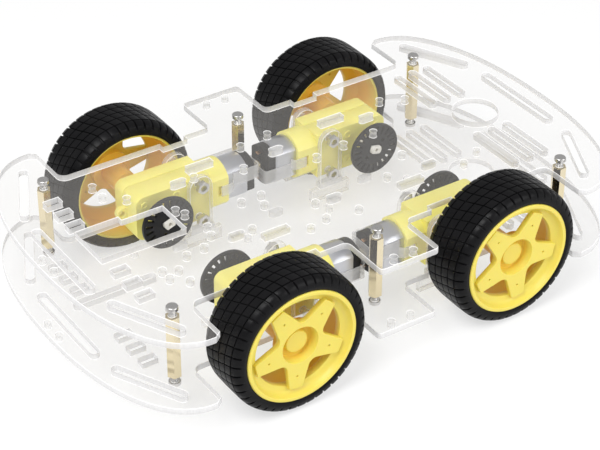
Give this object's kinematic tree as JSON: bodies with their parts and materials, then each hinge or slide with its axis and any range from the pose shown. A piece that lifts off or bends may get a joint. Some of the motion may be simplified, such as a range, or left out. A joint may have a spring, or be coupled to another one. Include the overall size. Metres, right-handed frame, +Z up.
{
  "type": "four-wheel robot chassis",
  "caption": "Clear acrylic double-deck robot car chassis with geared motors, yellow spoked wheels on rubber tyres, brass standoffs and slotted mounting decks.",
  "frame": {"origin": "on the floor, at the centre of the car's bounding box", "axes": "+X along the car towards the end with the big round hole, +Y towards the car's left side, +Z up"},
  "size_m": [0.26, 0.1652, 0.065],
  "materials": {
    "acrylic": "clear polished sheet",
    "brass": "machined",
    "screw_steel": "nickel plated",
    "gearbox_plastic": "moulded",
    "can_steel": "zinc plated, satin",
    "wheel_plastic": "moulded",
    "tyre_rubber": "moulded rubber",
    "shaft_plastic": "moulded",
    "disc_plastic": "satin"
  },
  "bodies": {
    "chassis": {"upper_deck": "acrylic", "lower_deck": "acrylic", "standoff_front_left": "brass", "standoff_front_right": "brass", "standoff_mid_left": "brass", "standoff_mid_right": "brass", "standoff_rear_left": "brass", "standoff_rear_right": "brass", "screw_top_front_left": "screw_steel", "screw_top_front_right": "screw_steel", "screw_top_mid_left": "screw_steel", "screw_top_mid_right": "screw_steel", "screw_top_rear_left": "screw_steel", "screw_top_rear_right": "screw_steel", "screw_low_front_left": "screw_steel", "screw_low_front_right": "screw_steel", "screw_low_mid_left": "screw_steel", "screw_low_mid_right": "screw_steel", "screw_low_rear_left": "screw_steel", "screw_low_rear_right": "screw_steel", "mount_plate_inner_front_left": "acrylic", "mount_plate_outer_front_left": "acrylic", "motor_bolt_top_front_left": "screw_steel", "motor_bolt_low_front_left": "screw_steel", "gearbox_front_left": "gearbox_plastic", "motor_can_front_left": "can_steel", "mount_plate_inner_front_right": "acrylic", "mount_plate_outer_front_right": "acrylic", "motor_bolt_top_front_right": "screw_steel", "motor_bolt_low_front_right": "screw_steel", "gearbox_front_right": "gearbox_plastic", "motor_can_front_right": "can_steel", "mount_plate_inner_rear_left": "acrylic", "mount_plate_outer_rear_left": "acrylic", "motor_bolt_top_rear_left": "screw_steel", "motor_bolt_low_rear_left": "screw_steel", "gearbox_rear_left": "gearbox_plastic", "motor_can_rear_left": "can_steel", "mount_plate_inner_rear_right": "acrylic", "mount_plate_outer_rear_right": "acrylic", "motor_bolt_top_rear_right": "screw_steel", "motor_bolt_low_rear_right": "screw_steel", "gearbox_rear_right": "gearbox_plastic", "motor_can_rear_right": "can_steel"},
    "wheel_front_left": {"wheel_rim_front_left": "wheel_plastic", "tyre_front_left": "tyre_rubber", "output_shaft_front_left": "shaft_plastic", "encoder_disc_front_left": "disc_plastic"},
    "wheel_front_right": {"wheel_rim_front_right": "wheel_plastic", "tyre_front_right": "tyre_rubber", "output_shaft_front_right": "shaft_plastic", "encoder_disc_front_right": "disc_plastic"},
    "wheel_rear_left": {"wheel_rim_rear_left": "wheel_plastic", "tyre_rear_left": "tyre_rubber", "output_shaft_rear_left": "shaft_plastic", "encoder_disc_rear_left": "disc_plastic"},
    "wheel_rear_right": {"wheel_rim_rear_right": "wheel_plastic", "tyre_rear_right": "tyre_rubber", "output_shaft_rear_right": "shaft_plastic", "encoder_disc_rear_right": "disc_plastic"}
  },
  "joints": [
    {"name": "wheel_front_left_spin", "type": "hinge", "parent": "chassis", "child": "wheel_front_left", "pos_m": [0.0556, 0.0698, 0.0325], "axis": [0, 1, 0], "continuous": true},
    {"name": "wheel_front_right_spin", "type": "hinge", "parent": "chassis", "child": "wheel_front_right", "pos_m": [0.0556, -0.0698, 0.0325], "axis": [0, 1, 0], "continuous": true},
    {"name": "wheel_rear_left_spin", "type": "hinge", "parent": "chassis", "child": "wheel_rear_left", "pos_m": [-0.0556, 0.0698, 0.0325], "axis": [0, 1, 0], "continuous": true},
    {"name": "wheel_rear_right_spin", "type": "hinge", "parent": "chassis", "child": "wheel_rear_right", "pos_m": [-0.0556, -0.0698, 0.0325], "axis": [0, 1, 0], "continuous": true}
  ]
}
